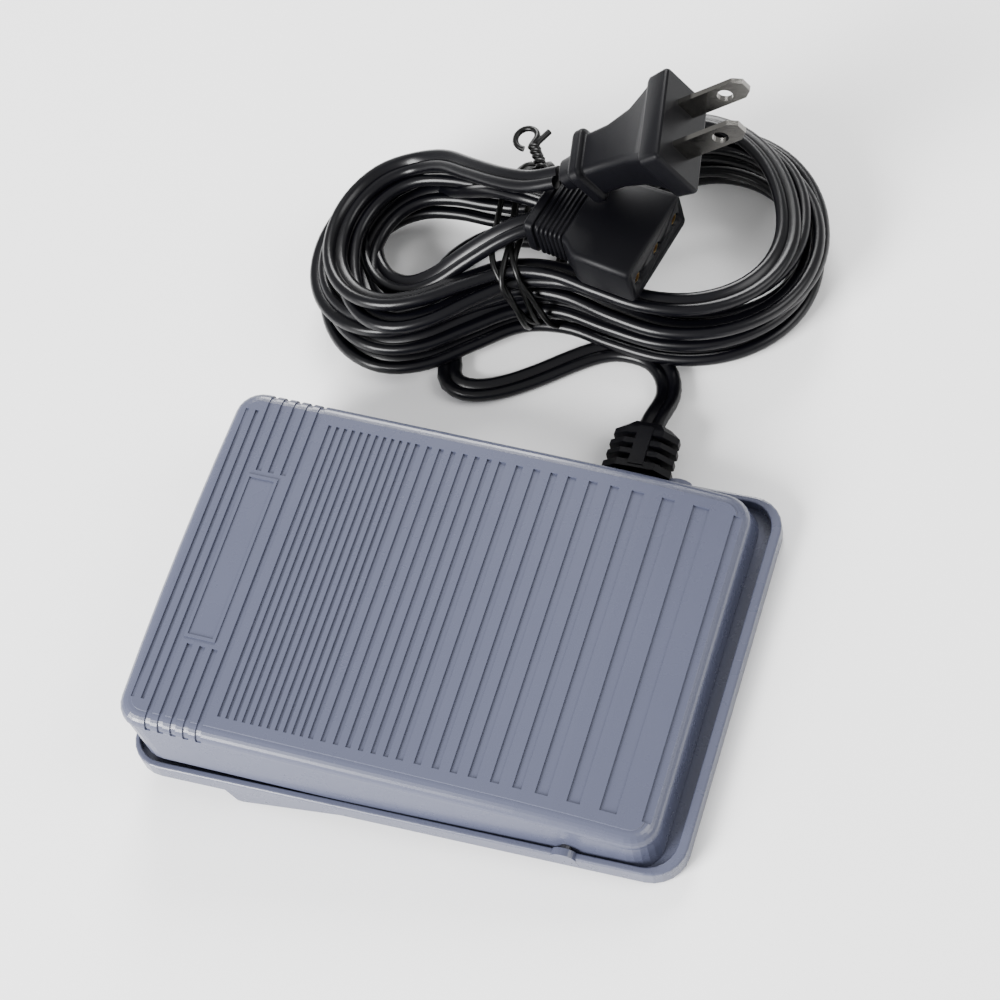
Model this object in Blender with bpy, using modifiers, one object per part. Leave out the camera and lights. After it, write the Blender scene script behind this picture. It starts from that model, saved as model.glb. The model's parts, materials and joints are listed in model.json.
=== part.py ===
"""Electronic foot controller for a sewing machine: hinged treadle over a shallow tray,
with its speed control inside, and its two-core lead, machine connector and wall plug.

Dimensions are in millimetres; the helpers turn them into Blender's metres.
The pedal is drawn level in its own tray frame: x runs from the toe (negative) to the
heel rim at 0, y across the pedal, z up from the rim's underside. An empty then leans
that frame on its toe wedge and heel feet. The cord and its plugs are in world places.
"""
import math

import bmesh
import bpy
from mathutils import Matrix, Vector

MM = 0.001

# Driving dimensions
TRAY_LENGTH = 138.0
TRAY_WIDTH = 102.0
RIM_HEIGHT = 4.9
FLOOR_TOP = 1.5
CORNER_RADIUS = 8.5
TREADLE_TOE_HEIGHT = 21.3
TOP_SLOPE = 0.0628
SHOULDER = 3.3
WALL = 1.9
LEAN_DEGREES = 3.1
HEEL_LIFT = 0.4
ORIGIN_TO_HEEL = 69.08
HINGE_X = -27.6
HINGE_Z = 4.2
TREADLE_TRAVEL = math.radians(2.7)
GAP = 0.3
TOE_OVERHANG = 0.7
SHOULDER_STEPS = 7
CREASE = 0.22

HALF_WIDTH = TRAY_WIDTH / 2
PIN_RADIUS = 1.45
BORE_RADIUS = 1.5

# Wedge under the toe
WEDGE_TOE_X = -114.1
WEDGE_CREST_X = -110.6
WEDGE_END_X = -80.0
WEDGE_DEPTH = 6.0

# Feet, springs and stops, mirrored about the centre line
TOE_FOOT = (-101.0, 41.0)
HEEL_FOOT = (-13.0, 38.0)
FOOT_RADIUS = 5.5
SPRING_AT = (-119.0, 24.0)
SPRING_RADIUS = 4.2
SPRING_WIRE = 0.5
STOP_AT = (-106.0, 30.0)

# Ridged top: runs of (count, pitch) from the first fine groove towards the heel
FIRST_GROOVE_X = -113.55
GROOVE_RUNS = ((11, 2.06), (7, 3.08), (4, 4.37), (3, 5.35), (1, 7.5), (1, 7.7), (1, 9.9))
GROOVE_SHARE = 0.41
GROOVE_DEPTH = 0.5
GROOVE_END_Y = 41.1
HEEL_STEP_WIDTH = 2.5
STEP_GROOVES_X = tuple(-129.6 + 3.2 * i for i in range(5))
TOE_GROOVES_X = (-135.5, -132.9)
PLATE_X = (-128.6, -120.6)
PLATE_HALF_LENGTH = 23.1

# Speed control
LEVER_PIVOT = (-89.0, 9.0)
LEVER_LENGTH = 13.5
LEVER_REST = math.radians(8.1)
LEVER_Y = (8.5, 12.5)
BOARD_X = (-94.0, -50.0)
BOARD_Y = (-14.0, 38.0)
BOARD_Z = (3.4, 5.0)

# Lead outlet in the far side
OUTLET_X = -39.1
OUTLET_Z = 3.8
RELIEF_END_Y = 65.0

# Hanked lead, in world millimetres
HANK_CENTRE = (-2.7, 111.6)
HANK_TURN = math.radians(11.7)
HANK_HALF_LENGTH = 69.0
HANK_NEAR_WIDTH = 31.0
HANK_FAR_WIDTH = 35.5
HANK_TOP = 26.0
TIE_ALONG = -10.0
TUBE_RADIUS = 2.0

# The lead's free stretch, from the strain relief to the hank
LEAD_ROUTE = (
    (30.2, 65.3, 6.3), (30.4, 68.0, 6.0), (30.7, 71.5, 4.9), (30.9, 75.0, 3.5),
    (30.6, 78.5, 2.5), (29.4, 82.2, 2.2), (27.0, 85.6, 2.2), (23.4, 88.2, 2.2),
    (18.6, 89.4, 2.2), (13.4, 89.3, 2.2), (8.2, 87.4, 2.2), (2.6, 83.8, 2.2),
    (-3.6, 79.2, 2.2), (-9.8, 75.2, 2.2), (-15.8, 72.4, 2.2), (-21.4, 71.4, 2.2),
    (-25.8, 72.6, 2.2), (-28.0, 75.4, 2.2), (-28.6, 78.1, 2.2),
)

# Machine connector and wall plug, in world millimetres
CONNECTOR_CENTRE = (10.5, 104.5, 33.0)
CONNECTOR_TURN = math.radians(-13.0)
CONNECTOR_THICKNESS = 12.0
SOCKET_PITCH = 9.5
PLUG_FACE_CENTRE = (33.3, 117.2, 60.5)
PLUG_PITCH_UP = math.radians(27.0)
PLUG_TURN = math.radians(10.0)
BLADE_PITCH = 12.7
BLADE_SIZE = (17.9, 1.5, 6.35)

# Colour, roughness and metallic value of each material
FINISHES = {
    "housing": ((0.235, 0.250, 0.330), 0.32, 0.0),
    "black_pvc": ((0.012, 0.012, 0.014), 0.42, 0.0),
    "rubber": ((0.020, 0.020, 0.022), 0.80, 0.0),
    "steel": ((0.55, 0.55, 0.56), 0.30, 1.0),
    "brass": ((0.62, 0.45, 0.20), 0.35, 1.0),
    "nickel": ((0.66, 0.66, 0.64), 0.18, 1.0),
    "board": ((0.26, 0.14, 0.05), 0.55, 0.0),
    "aluminium": ((0.62, 0.63, 0.65), 0.40, 1.0),
    "component": ((0.03, 0.03, 0.035), 0.50, 0.0),
    "capacitor": ((0.50, 0.33, 0.04), 0.45, 0.0),
    "terminal": ((0.04, 0.16, 0.08), 0.45, 0.0),
    "copper": ((0.55, 0.20, 0.08), 0.35, 1.0),
    "resistor": ((0.50, 0.36, 0.20), 0.50, 0.0),
    "white_pvc": ((0.60, 0.60, 0.58), 0.45, 0.0),
}


def clear_scene():
    """Start from an empty scene."""
    for thing in list(bpy.data.objects):
        bpy.data.objects.remove(thing, do_unlink=True)


def collection(name):
    """A new collection in the scene."""
    made = bpy.data.collections.new(name)
    bpy.context.scene.collection.children.link(made)
    return made


clear_scene()
PARTS = collection("sewing_machine_pedal")
CUTTERS = collection("cutters")


def tray_frame():
    """The empty that carries the pedal and leans it on its feet."""
    frame = bpy.data.objects.new("tray_frame", None)
    frame.location = (ORIGIN_TO_HEEL * MM, 0, HEEL_LIFT * MM)
    frame.rotation_euler = (0, math.radians(LEAN_DEGREES), 0)
    PARTS.objects.link(frame)
    return frame


TRAY_FRAME = tray_frame()


def material(finish):
    """One Principled material for each part, from its finish."""
    colour, roughness, metallic = FINISHES[finish]
    made = bpy.data.materials.new(finish)
    made.use_nodes = True
    shader = made.node_tree.nodes["Principled BSDF"]
    shader.inputs["Base Color"].default_value = (*colour, 1)
    shader.inputs["Roughness"].default_value = roughness
    shader.inputs["Metallic"].default_value = metallic
    return made


def place(thing, finish, parent=TRAY_FRAME):
    """Link an object as a part, or as a cutter when it has no finish."""
    thing.parent = parent
    if finish is None:
        CUTTERS.objects.link(thing)
        thing.hide_render = True
        thing.display_type = "WIRE"
        return thing
    PARTS.objects.link(thing)
    thing.data.materials.append(material(finish))
    return thing


def from_bmesh(name, shape, finish, parent=TRAY_FRAME):
    """Turn millimetre geometry into a placed mesh object, shaded smooth off its edges."""
    bmesh.ops.scale(shape, vec=(MM, MM, MM), verts=shape.verts)
    mesh = bpy.data.meshes.new(name)
    shape.to_mesh(mesh)
    shape.free()
    mesh.shade_smooth()
    mesh.set_sharp_from_angle(angle=math.radians(35))
    return place(bpy.data.objects.new(name, mesh), finish, parent)


def add_box(shape, x, y, z):
    """Add a box between low and high millimetre limits to a bmesh."""
    size = Vector((x[1] - x[0], y[1] - y[0], z[1] - z[0]))
    middle = Vector((x[1] + x[0], y[1] + y[0], z[1] + z[0])) / 2
    matrix = Matrix.Translation(middle) @ Matrix.Diagonal((*size, 1))
    return bmesh.ops.create_cube(shape, size=1, matrix=matrix)["verts"]


def box(name, x, y, z, finish=None, bevel=0.0, parent=TRAY_FRAME):
    """A box, with its edges rounded when a bevel is given."""
    shape = bmesh.new()
    add_box(shape, x, y, z)
    if bevel:
        bmesh.ops.bevel(shape, geom=shape.edges[:], offset=bevel, segments=2, affect="EDGES",
                        profile=0.5)
    return from_bmesh(name, shape, finish, parent)


def axis_turn(axis):
    """The rotation that lays a Z-aligned primitive along another axis."""
    turns = {"X": Matrix.Rotation(math.pi / 2, 4, "Y"), "Y": Matrix.Rotation(-math.pi / 2, 4, "X"),
             "Z": Matrix.Identity(4)}
    return turns[axis]


def cylinder(name, centre, radius, length, axis="Z", finish=None, sides=24, top=None,
             parent=TRAY_FRAME):
    """A cylinder, or a cone when its top radius differs."""
    shape = bmesh.new()
    matrix = Matrix.Translation(centre) @ axis_turn(axis)
    bmesh.ops.create_cone(shape, cap_ends=True, segments=sides, radius1=radius,
                          radius2=radius if top is None else top, depth=length, matrix=matrix)
    return from_bmesh(name, shape, finish, parent)


def slab(name, outline, low, high, finish=None, upright=False, parent=TRAY_FRAME):
    """A flat outline with thickness: along Z, or along Y with the outline in X and Z."""
    curve = bpy.data.curves.new(name, "CURVE")
    curve.dimensions = "2D"
    curve.fill_mode = "BOTH"
    curve.extrude = (high - low) / 2 * MM
    spline = curve.splines.new("POLY")
    spline.points.add(len(outline) - 1)
    spline.use_cyclic_u = True
    for point, (u, v) in zip(spline.points, outline):
        point.co = (u * MM, v * MM, 0, 1)
    guide = bpy.data.objects.new(name + "_outline", curve)
    CUTTERS.objects.link(guide)
    middle = (high + low) / 2
    if upright:
        turn = Matrix.Translation((0, middle * MM, 0)) @ Matrix.Rotation(math.pi / 2, 4, "X")
    else:
        turn = Matrix.Translation((0, 0, middle * MM))
    mesh = bpy.data.meshes.new_from_object(guide.evaluated_get(
        bpy.context.evaluated_depsgraph_get()))
    bpy.data.objects.remove(guide, do_unlink=True)
    shape = bmesh.new()
    shape.from_mesh(mesh)
    bpy.data.meshes.remove(mesh)
    bmesh.ops.remove_doubles(shape, verts=shape.verts, dist=0.00001)
    bmesh.ops.recalc_face_normals(shape, faces=shape.faces)
    bmesh.ops.transform(shape, matrix=turn, verts=shape.verts)
    bmesh.ops.scale(shape, vec=(1 / MM, 1 / MM, 1 / MM), verts=shape.verts)
    return from_bmesh(name, shape, finish, parent)


def tube(name, points, radius, finish, parent=TRAY_FRAME, fineness=2):
    """A round wire along a run of points, with closed ends."""
    curve = bpy.data.curves.new(name, "CURVE")
    curve.dimensions = "3D"
    curve.bevel_depth = radius * MM
    curve.bevel_resolution = fineness
    curve.use_fill_caps = True
    spline = curve.splines.new("POLY")
    spline.points.add(len(points) - 1)
    for point, place_at in zip(spline.points, points):
        point.co = (*(Vector(place_at) * MM), 1)
    return place(bpy.data.objects.new(name, curve), finish, parent)


def turned(name, profile, centre, finish, steps=24, parent=TRAY_FRAME):
    """A shape turned about a vertical axis from an (offset, height) profile, top first."""
    mesh = bpy.data.meshes.new(name)
    mesh.from_pydata([(r * MM, 0, z * MM) for r, z in profile],
                     [(i, i + 1) for i in range(len(profile) - 1)], [])
    made = place(bpy.data.objects.new(name, mesh), finish, parent)
    made.location = Vector(centre) * MM
    screw = made.modifiers.new("turn", "SCREW")
    screw.steps = steps
    screw.render_steps = steps
    screw.use_merge_vertices = True
    screw.merge_threshold = 0.00001
    return made


def combine(target, tool, operation):
    """Cut a target by a tool, or join the tool to it."""
    boolean = target.modifiers.new(tool.name, "BOOLEAN")
    boolean.operation = operation
    boolean.object = tool
    boolean.solver = "EXACT"


def gather(tools):
    """Make several cutters that stand clear of each other into one."""
    if len(tools) == 1:
        return tools[0]
    shape = bmesh.new()
    for tool in tools:
        tool.data.transform(tool.matrix_basis)
        shape.from_mesh(tool.data)
    name = tools[0].name
    parent = tools[0].parent
    for tool in tools:
        bpy.data.objects.remove(tool, do_unlink=True)
    mesh = bpy.data.meshes.new(name)
    shape.to_mesh(mesh)
    shape.free()
    return place(bpy.data.objects.new(name, mesh), None, parent)


def cut(target, *tools):
    """Take the tools' shapes out of the target."""
    combine(target, gather(tools), "DIFFERENCE")


def join(target, *tools):
    """Make the tools' shapes one body with the target."""
    combine(target, gather(tools), "UNION")


def smooth_route(points, spacing):
    """Points at an even spacing on a smooth curve through hand-placed points."""
    knots = [Vector(p) for p in points]
    ends = [2 * knots[0] - knots[1], *knots, 2 * knots[-1] - knots[-2]]
    dense = []
    for a, b, c, d in zip(ends, ends[1:], ends[2:], ends[3:]):
        for step in range(20):
            t = step / 20
            dense.append(0.5 * (2 * b + (c - a) * t + (2 * a - 5 * b + 4 * c - d) * t * t
                                + (3 * b - a - 3 * c + d) * t ** 3))
    dense.append(knots[-1])
    length = sum((b - a).length for a, b in zip(dense, dense[1:]))
    count = max(2, round(length / spacing))
    even = [dense[0]]
    walked = 0.0
    for a, b in zip(dense, dense[1:]):
        step = (b - a).length
        while len(even) < count and walked + step >= length * len(even) / count:
            share = (length * len(even) / count - walked) / step
            even.append(a.lerp(b, share))
        walked += step
    even.append(dense[-1])
    return even


def ring(x_toe, x_heel, half_width, radius, height, bow=0.0):
    """One closed level line of the pedal's outline, with rounded corners.

    The toe edge bows outwards by bow; height gives z from x. Points run from the toe's
    middle along the near side to the heel's middle, then back along the far side.
    """
    straight = half_width - radius
    half = [(x_toe - bow * (1 - y * y), -straight * y) for y in (0, 0.33, 0.66)]
    corner_steps = 6
    for i in range(corner_steps + 1):
        turn = math.pi / 2 * i / corner_steps
        half.append((x_toe + radius * (1 - math.cos(turn)), -straight - radius * math.sin(turn)))
    start = x_toe + radius
    end = x_heel - radius
    for share in (0.16, 0.32, 0.48, 0.62, 0.70, 0.78, 0.85, 0.91, 0.96):
        half.append((start + (end - start) * share, -half_width))
    for i in range(corner_steps + 1):
        turn = math.pi / 2 * i / corner_steps
        half.append((end + radius * math.sin(turn), -straight - radius * math.cos(turn)))
    line = half + [(x, -y) for x, y in reversed(half[1:])]
    return [(x, y, height(x)) for x, y in line]


def add_wall(shape, low, high):
    """Join two rings of the same count with a band of faces."""
    count = len(low)
    for i in range(count):
        j = (i + 1) % count
        shape.faces.new((low[i], low[j], high[j], high[i]))


def add_cap(shape, row):
    """Close one of the pedal's rings with strips from side to side."""
    count = len(row)
    shape.faces.new((row[0], row[1], row[-1]))
    for i in range(1, count // 2):
        shape.faces.new((row[i], row[i + 1], row[count - i - 1], row[count - i]))


def loft(name, rings, finish=None, parent=TRAY_FRAME):
    """Skin rings of equal counts, and close both ends with strips across the pedal."""
    shape = bmesh.new()
    rows = [[shape.verts.new(p) for p in points] for points in rings]
    for low, high in zip(rows, rows[1:]):
        add_wall(shape, low, high)
    add_cap(shape, rows[0])
    add_cap(shape, rows[-1])
    bmesh.ops.recalc_face_normals(shape, faces=shape.faces)
    return from_bmesh(name, shape, finish, parent)


def top_height(x):
    """Height of the treadle's top: a straight ramp that droops towards the heel."""
    droop = 1.4 * max(0.0, (x + 48.0) / 32.0) ** 2
    return TREADLE_TOE_HEIGHT - TOP_SLOPE * (x + TRAY_LENGTH) - droop


def skirt_height(x):
    """Height of the treadle's lower edge, which lies flat on the floor when pressed."""
    ahead_of_hinge = max(0.0, HINGE_X - x)
    return FLOOR_TOP + GAP + ahead_of_hinge * math.sin(TREADLE_TRAVEL)


def tray_shell():
    """The tray: floor and rim in one skin, thicker at the heel than at the toe."""
    toe = -TRAY_LENGTH
    outside = [(0.3, 0.0), (0.0, 0.3), (0.0, 4.3), (0.08, 4.6), (0.3, 4.82), (0.6, RIM_HEIGHT)]
    rings = [ring(toe + i, -i, HALF_WIDTH - i, CORNER_RADIUS - i, lambda x, z=z: z, 0.6)
             for i, z in outside]
    inside = [(-0.35, RIM_HEIGHT), (-0.17, 4.85), (-0.05, 4.73), (0.0, 4.55), (0.0, FLOOR_TOP)]
    rings += [ring(toe + 1.1 + i, -2.4 - i, HALF_WIDTH - 1.7 - i, CORNER_RADIUS - 1.2 - i,
                   lambda x, z=z: z, 0.6) for i, z in inside]
    return loft("base_tray", rings, "housing")


def toe_wedge():
    """The solid wedge that lifts the toe, across the tray's width."""
    overlap = 0.8
    run_out = overlap * (WEDGE_END_X - WEDGE_CREST_X) / WEDGE_DEPTH
    outline = ((WEDGE_TOE_X, overlap), (WEDGE_CREST_X - 0.6, -WEDGE_DEPTH + 0.4),
               (WEDGE_CREST_X + 0.7, -WEDGE_DEPTH + 0.14), (WEDGE_END_X + run_out, overlap))
    return slab("wedge", outline, -HALF_WIDTH + 0.4, HALF_WIDTH - 0.4, upright=True)


def mirrored(x, y):
    """A place and its mirror image across the centre line, with side names."""
    return (("near", x, -y), ("far", x, y))


def rim_boss(side, x, sign):
    """The oval swelling of the rim around a hinge pin's end."""
    wide, high = 0.92, 0.66
    boss = cylinder(f"boss_{side}", (x, sign * 50.32, HINGE_Z), 3.3, 1.86, "Y", sides=28)
    boss.scale = (wide, 1, high)
    boss.location = (x * (1 - wide) * MM, 0, HINGE_Z * (1 - high) * MM)
    return boss


def board_corners():
    """The four screw places of the circuit board."""
    inset = 3.5
    return [(x, y) for x in (BOARD_X[0] + inset, BOARD_X[1] - inset)
            for y in (BOARD_Y[0] + inset, BOARD_Y[1] - inset)]


def tray_supports():
    """Everything that stands up from the tray: bosses, hinge lugs and posts."""
    made = []
    for side, x, y in mirrored(HINGE_X, 43.1):
        sign = math.copysign(1, y)
        made.append(rim_boss(side, x, sign))
        made.append(box(f"lug_{side}", (x - 4, x + 4), (y - 1.5, y + 1.5), (1.0, 8.2)))
    for side, x, y in mirrored(*SPRING_AT):
        made.append(cylinder(f"spring_post_{side}", (x, y, 3.2), 2.9, 4.0, sides=20))
    for i, (x, y) in enumerate(board_corners()):
        made.append(cylinder(f"board_post_{i}", (x, y, 2.1), 2.8, 2.0, sides=20))
    return made


def tray_holes():
    """Everything cut from the tray: bores, screw holes, pockets and the lead's outlet."""
    made = []
    for side, x, y in mirrored(HINGE_X, 45.8):
        made.append(cylinder(f"pin_bore_{side}", (x, y, HINGE_Z), BORE_RADIUS, 9.9, "Y"))
    for i, (x, y) in enumerate(board_corners()):
        made.append(cylinder(f"post_hole_{i}", (x, y, 2.2), 1.0, 2.6, sides=16))
    for side, x, y in mirrored(*TOE_FOOT):
        made.append(cylinder(f"toe_pocket_{side}", (x, y, -6.2), FOOT_RADIUS + GAP, 8.0))
    for side, x, y in mirrored(*HEEL_FOOT):
        made.append(cylinder(f"heel_pocket_{side}", (x, y, -3.3), FOOT_RADIUS + GAP, 8.0))
    made.append(box("outlet_notch", (OUTLET_X - 5.9, OUTLET_X + 5.9), (48.0, 53.0), (1.75, 9.0)))
    return made


def base_tray():
    """The tray with its wedge, supports, pockets and outlet."""
    tray = tray_shell()
    join(tray, toe_wedge())
    join(tray, *tray_supports())
    cut(tray, *tray_holes())
    cut(tray, *[cylinder(f"stop_hole_{side}", (x, y, 0), 1.9, 20.0, sides=16)
                for side, x, y in mirrored(*STOP_AT)])
    cut(tray, *[cylinder(f"stop_well_{side}", (x, y, -8.2), 3.7, 16.0)
                for side, x, y in mirrored(*STOP_AT)])
    return tray


def treadle_shell():
    """The treadle's skin: drafted skirt, rounded shoulder and ramped top, hollow below."""
    toe = -TRAY_LENGTH - TOE_OVERHANG

    def shoulder_ring(inset, drop):
        return ring(toe + inset, -6.6 - inset, HALF_WIDTH - 3.6 - inset, max(2.4, 6.9 - inset),
                    lambda x: top_height(x) - drop, 0.75)

    def skirt_ring(inset):
        return ring(3.0 - TRAY_LENGTH + inset, -5.8 - inset, HALF_WIDTH - 2.0 - inset, 7.0 - inset,
                    skirt_height, 0.6)

    outer = [skirt_ring(0.0), shoulder_ring(CREASE, SHOULDER + CREASE)]
    for i in range(SHOULDER_STEPS + 1):
        turn = math.pi / 2 * i / SHOULDER_STEPS
        outer.append(shoulder_ring(SHOULDER * (1 - math.cos(turn)),
                                   CREASE + (SHOULDER - CREASE) * (1 - math.sin(turn))))
    outer.append(shoulder_ring(SHOULDER + 0.15, 0.0))
    inner = [shoulder_ring(SHOULDER + 0.4, WALL), shoulder_ring(WALL, SHOULDER + 0.6),
             skirt_ring(WALL)]
    shape = loft_shell("treadle", outer, inner, "housing")
    return shape


def loft_shell(name, outer, inner, finish):
    """A shell open below: outer rings from the edge up, then inner rings back down."""
    shape = bmesh.new()
    outside = [[shape.verts.new(p) for p in points] for points in outer]
    inside = [[shape.verts.new(p) for p in points] for points in inner]
    for rows in (outside, inside):
        for low, high in zip(rows, rows[1:]):
            add_wall(shape, low, high)
    add_wall(shape, inside[-1], outside[0])
    add_cap(shape, outside[-1])
    add_cap(shape, inside[0])
    bmesh.ops.recalc_face_normals(shape, faces=shape.faces)
    return from_bmesh(name, shape, finish)


def groove_places():
    """Toe-side edge and width of each parallel groove, ending in a step at the heel."""
    x = FIRST_GROOVE_X
    places = []
    for count, pitch in GROOVE_RUNS:
        for _ in range(count):
            places.append((x, pitch * GROOVE_SHARE))
            x += pitch
    places.append((x, HEEL_STEP_WIDTH))
    return places


def add_groove(shape, x, width, y):
    """Add one groove's cutting block, laid along the local slope of the top."""
    slope = (top_height(x + 0.5) - top_height(x - 0.5))
    verts = add_box(shape, (0, width), y, (-GROOVE_DEPTH, 1.5))
    matrix = Matrix.Translation((x, 0, top_height(x))) @ Matrix.Rotation(-math.atan(slope), 4, "Y")
    bmesh.ops.transform(shape, matrix=matrix, verts=verts)


def top_grooves():
    """All the straight grooves of the top as one cutter."""
    shape = bmesh.new()
    for x, width in groove_places():
        add_groove(shape, x, width, (-GROOVE_END_Y, GROOVE_END_Y))
    for x in TOE_GROOVES_X:
        add_groove(shape, x, 0.9, (-GROOVE_END_Y, GROOVE_END_Y))
    return from_bmesh("top_grooves", shape, None)


def step_groove(x):
    """A groove that runs over the shoulder on both sides, stopped by the name plate."""
    top = top_height(x)
    side = HALF_WIDTH - 3.6
    half = [(side - GROOVE_DEPTH, top - SHOULDER - 0.3)]
    for i in range(SHOULDER_STEPS + 1):
        turn = math.pi / 2 * i / SHOULDER_STEPS
        reach = SHOULDER - GROOVE_DEPTH
        half.append((side - SHOULDER + reach * math.cos(turn),
                     top - SHOULDER + reach * math.sin(turn)))
    inner_end = PLATE_HALF_LENGTH + 1.5 if PLATE_X[0] - 1 < x < PLATE_X[1] + 1 else 0.0
    if inner_end:
        half.append((inner_end, top - GROOVE_DEPTH))
        half.append((inner_end, top + 1.5))
        half += [(side + 2, top + 1.5), (side + 2, top - SHOULDER - 0.3)]
        outlines = [half, [(-y, z) for y, z in half]]
    else:
        outlines = [half + [(-y, z) for y, z in reversed(half)]
                    + [(-side - 2, top - SHOULDER - 0.3), (-side - 2, top + 1.5),
                       (side + 2, top + 1.5), (side + 2, top - SHOULDER - 0.3)]]
    shape = bmesh.new()
    for outline in outlines:
        low = [shape.verts.new((x - 0.75, y, z)) for y, z in outline]
        high = [shape.verts.new((x + 0.75, y, z)) for y, z in outline]
        shape.faces.new(low)
        shape.faces.new(high)
        for i in range(len(low)):
            j = (i + 1) % len(low)
            shape.faces.new((low[i], low[j], high[j], high[i]))
    bmesh.ops.recalc_face_normals(shape, faces=shape.faces)
    return from_bmesh(f"step_groove_{round(-x)}", shape, None)


def plate_frame():
    """The raised border of the blank plate near the toe."""
    middle = sum(PLATE_X) / 2
    half = (PLATE_X[1] - PLATE_X[0]) / 2
    border = 0.8
    frame = box("plate_border", (-half, half), (-PLATE_HALF_LENGTH, PLATE_HALF_LENGTH), (-0.7, 0.35))
    window = box("plate_window", (-half + border, half - border),
                 (-PLATE_HALF_LENGTH + border, PLATE_HALF_LENGTH - border), (-2.0, 2.0))
    cut(frame, window)
    slope = top_height(middle + 0.5) - top_height(middle - 0.5)
    for piece in (frame, window):
        piece.location = (middle * MM, 0, top_height(middle) * MM)
        piece.rotation_euler = (0, -math.atan(slope), 0)
    return frame


def treadle_supports():
    """Everything that hangs under the treadle's top: ears, bosses and the lever's rib."""
    made = []
    for side, x, y in mirrored(HINGE_X, 46.25):
        made.append(box(f"ear_{side}", (x - 3.4, x + 3.4), (y - 1.15, y + 1.15), (2.1, 8.3)))
    for side, x, y in mirrored(*SPRING_AT):
        made.append(cylinder(f"spring_boss_{side}", (x, y, 17.0), 2.9, 5.0, sides=20))
    for side, x, y in mirrored(*STOP_AT):
        made.append(cylinder(f"stop_boss_{side}", (x, y, 13.8), 3.2, 10.0, sides=20))
    rib_x = LEVER_PIVOT[0] - LEVER_LENGTH * math.cos(LEVER_REST)
    rib_low = LEVER_PIVOT[1] + LEVER_LENGTH * math.sin(LEVER_REST) + 1.5 + GAP
    made.append(box("lever_rib", (rib_x - 1.5, rib_x + 1.5), (4.5, 16.5), (rib_low, 18.2)))
    return made


def treadle_holes():
    """Everything cut from under the treadle: pin bores, screw holes and the lead's outlet."""
    made = []
    for side, x, y in mirrored(HINGE_X, 46.9):
        made.append(cylinder(f"ear_bore_{side}", (x, y, HINGE_Z), BORE_RADIUS, 8.0, "Y"))
    for side, x, y in mirrored(*STOP_AT):
        made.append(cylinder(f"stop_boss_hole_{side}", (x, y, 11.5), 1.55, 10.0, sides=16))
    outlet = (OUTLET_X - 9.5, OUTLET_X + 6.5)
    made.append(box("treadle_outlet", outlet, (46.0, 52.0), (0.0, 9.2)))
    return made


def treadle():
    """The treadle with its ridges, supports and plate, turning on the hinge pins."""
    body = treadle_shell()
    join(body, *treadle_supports())
    cut(body, *treadle_holes())
    cut(body, top_grooves())
    cut(body, *[step_groove(x) for x in STEP_GROOVES_X])
    join(body, plate_frame())
    set_origin(body, (HINGE_X, 0, HINGE_Z))
    return body


def set_origin(thing, point):
    """Move an object's origin to a place in the tray frame, leaving its shape in place."""
    offset = Vector(point) * MM
    thing.data.transform(Matrix.Translation(-offset))
    thing.location = offset


def hinge_pins():
    """Two headed pins, pushed in from the inside."""
    for side, x, y in mirrored(HINGE_X, 45.9):
        sign = -1 if side == "near" else 1
        pin = cylinder(f"hinge_pin_{side}", (x, sign * 45.8, HINGE_Z), PIN_RADIUS, 9.3, "Y", "steel")
        head = cylinder(f"pin_head_{side}", (x, sign * 40.6, HINGE_Z), 2.5, 1.4, "Y")
        join(pin, head)


def spring_points(x, y, low, high, turns):
    """Points of a coil with closed ends."""
    count = 10 * turns
    points = []
    for i in range(count + 1):
        share = i / count
        eased = min(max((share * turns - 0.9) / (turns - 1.8), 0.0), 1.0)
        turn = 2 * math.pi * share * turns
        lift = low + 0.6 * min(share * turns, 1.0) * 2 + (high - low - 2.4) * eased
        lift += 1.2 * max(0.0, share * turns - turns + 1)
        points.append((x + SPRING_RADIUS * math.cos(turn), y + SPRING_RADIUS * math.sin(turn), lift))
    return points


def return_springs():
    """Two coil springs that lift the treadle."""
    low = FLOOR_TOP + GAP + SPRING_WIRE
    for side, x, y in mirrored(*SPRING_AT):
        high = top_height(x) - WALL - 1.3
        tube(f"return_spring_{side}", spring_points(x, y, low, high, 5), SPRING_WIRE, "steel",
             fineness=1)


def rubber_feet():
    """Four rubber feet, trimmed level with the ground the leaning tray stands on."""
    ground = box("ground", (-200, 200), (-200, 200), (-60, 0), parent=None)
    for end, spot, top in (("toe", TOE_FOOT, -2.5), ("heel", HEEL_FOOT, 0.4)):
        for side, x, y in mirrored(*spot):
            foot = cylinder(f"rubber_foot_{end}_{side}", (x, y, top - 4.0), FOOT_RADIUS, 8.0,
                            finish="rubber")
            cut(foot, ground)


def pan_screw(name, x, y, z, length, radius=0.85, head=1.9):
    """A pan-head screw whose head rests at height z."""
    profile = ((0.0, z + 1.3), (head * 0.7, z + 1.1), (head, z + 0.3), (head, z), (radius, z), (radius, z - length + 0.6), (0.0, z - length))
    return turned(name, profile, (x, y, 0), "steel", steps=12)


def circuit_board():
    """The board and the four screws that hold it."""
    board = box("circuit_board", BOARD_X, BOARD_Y, BOARD_Z, "board")
    corners = board_corners()
    cut(board, *[cylinder("board_hole", (x, y, 4.2), 1.2, 4.0, sides=12) for x, y in corners])
    for i, (x, y) in enumerate(corners):
        pan_screw(f"board_screw_{i + 1}", x, y, BOARD_Z[1] + 0.05, 3.1)


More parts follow.
